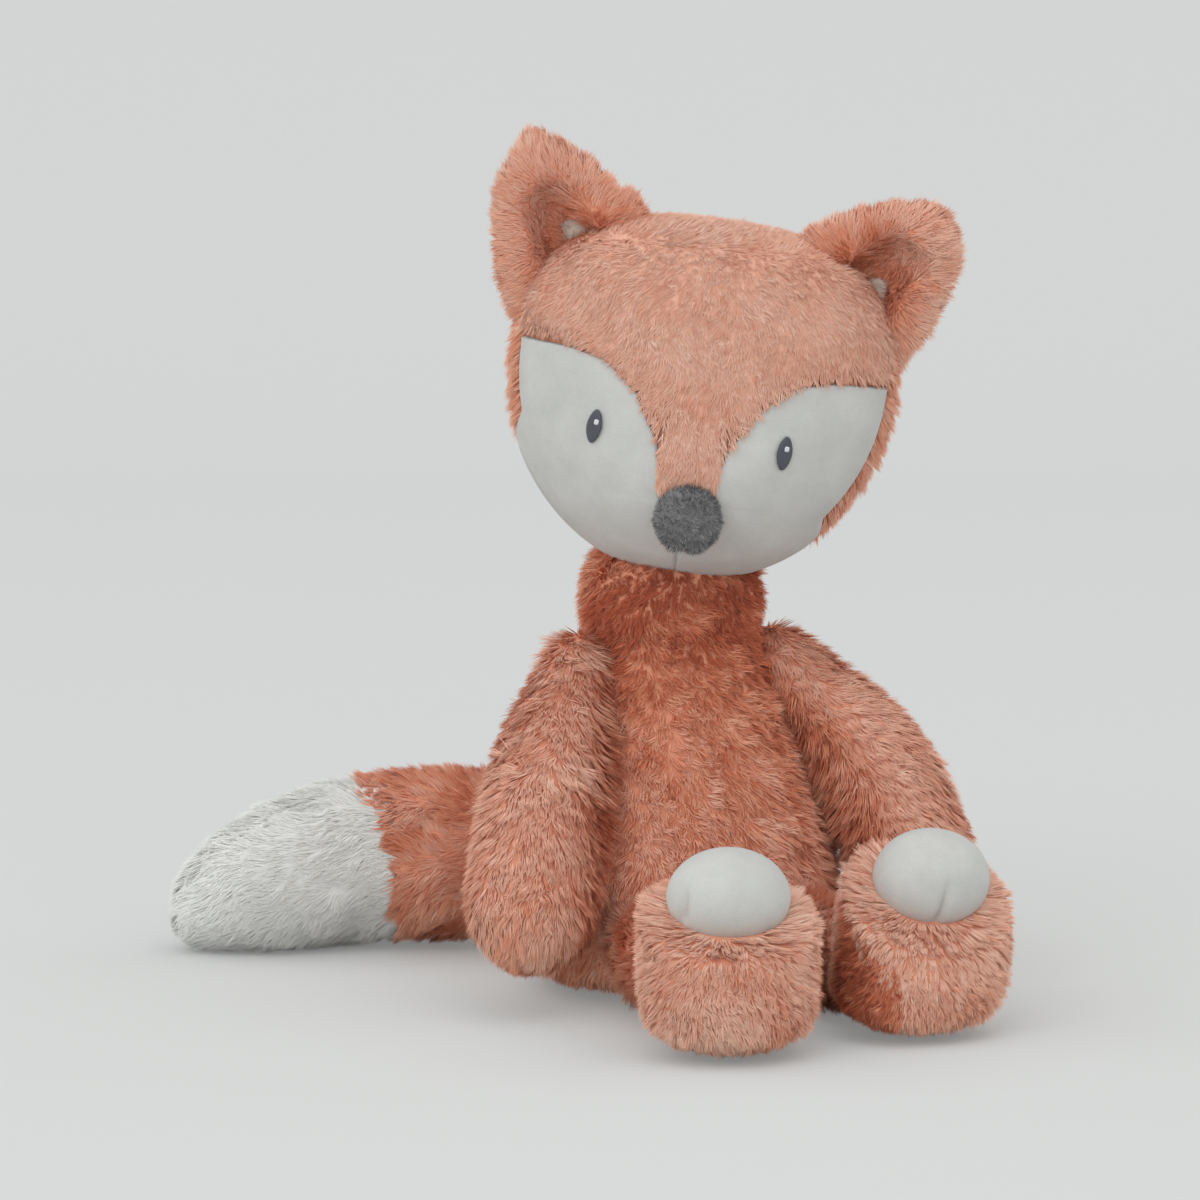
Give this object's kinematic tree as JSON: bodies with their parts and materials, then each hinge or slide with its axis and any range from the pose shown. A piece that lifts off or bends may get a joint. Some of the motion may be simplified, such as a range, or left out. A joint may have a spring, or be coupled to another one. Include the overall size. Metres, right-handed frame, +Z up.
{
  "type": "plush fox",
  "caption": "Sitting plush fox with a turned, leaning head, swinging arms and legs, padded toes and a fat two-colour tail.",
  "frame": {"origin": "on the floor, at the middle of the flat underside of the seat", "axes": "+Z up; the toy's body faces -Y; its own left side is +X"},
  "size_m": [0.2548, 0.2883, 0.2971],
  "materials": {
    "orange_fur": "long pile faux fur",
    "white_fur": "long pile faux fur",
    "velboa": "short pile velboa",
    "nose_felt": "brushed short plush",
    "satin_thread": "satin stitch thread",
    "stuffing": "loose polyester fibre"
  },
  "bodies": {
    "torso": {"body_cover": "orange_fur", "body_fill": "stuffing"},
    "neck": {"neck_cover": "orange_fur", "neck_fill": "stuffing"},
    "head": {"head_back_cover": "orange_fur", "brow_cover": "orange_fur", "cheek_left": "velboa", "cheek_right": "velboa", "head_fill": "stuffing", "nose": "nose_felt", "eye_left": "satin_thread", "ear_left_cover": "orange_fur", "ear_left_lining": "velboa", "eye_right": "satin_thread", "ear_right_cover": "orange_fur", "ear_right_lining": "velboa"},
    "tail": {"tail_base_cover": "orange_fur", "tail_tip_cover": "white_fur", "tail_fill": "stuffing"},
    "arm_left": {"arm_left_cover": "orange_fur", "arm_left_fill": "stuffing"},
    "leg_left": {"leg_left_cover": "orange_fur", "foot_left_cover": "orange_fur", "toe_cap_left": "velboa", "leg_left_fill": "stuffing"},
    "arm_right": {"arm_right_cover": "orange_fur", "arm_right_fill": "stuffing"},
    "leg_right": {"leg_right_cover": "orange_fur", "foot_right_cover": "orange_fur", "toe_cap_right": "velboa", "leg_right_fill": "stuffing"}
  },
  "joints": [
    {"name": "neck_turn", "type": "hinge", "parent": "torso", "child": "neck", "pos_m": [0, 0.009, 0.133], "axis": [0, 0, 1], "range_deg": [-23, 67]},
    {"name": "head_lean", "type": "hinge", "parent": "neck", "child": "head", "pos_m": [0, 0.009, 0.133], "axis": [-0.3746, -0.9272, 0], "range_deg": [-12, 28]},
    {"name": "shoulder_left", "type": "hinge", "parent": "torso", "child": "arm_left", "pos_m": [0.033, 0.004, 0.116], "axis": [-1, 0, 0], "range_deg": [-8, 55]},
    {"name": "shoulder_right", "type": "hinge", "parent": "torso", "child": "arm_right", "pos_m": [-0.033, 0.004, 0.116], "axis": [-1, 0, 0], "range_deg": [-8, 55]},
    {"name": "hip_left", "type": "hinge", "parent": "torso", "child": "leg_left", "pos_m": [0.025, -0.047, 0.021], "axis": [-1, 0, 0], "range_deg": [-90, 20]},
    {"name": "hip_right", "type": "hinge", "parent": "torso", "child": "leg_right", "pos_m": [-0.025, -0.047, 0.021], "axis": [-1, 0, 0], "range_deg": [-90, 20]},
    {"name": "tail_swing", "type": "hinge", "parent": "torso", "child": "tail", "pos_m": [0, 0.05, 0.029], "axis": [0, 0, 1], "range_deg": [-75, 0]}
  ]
}
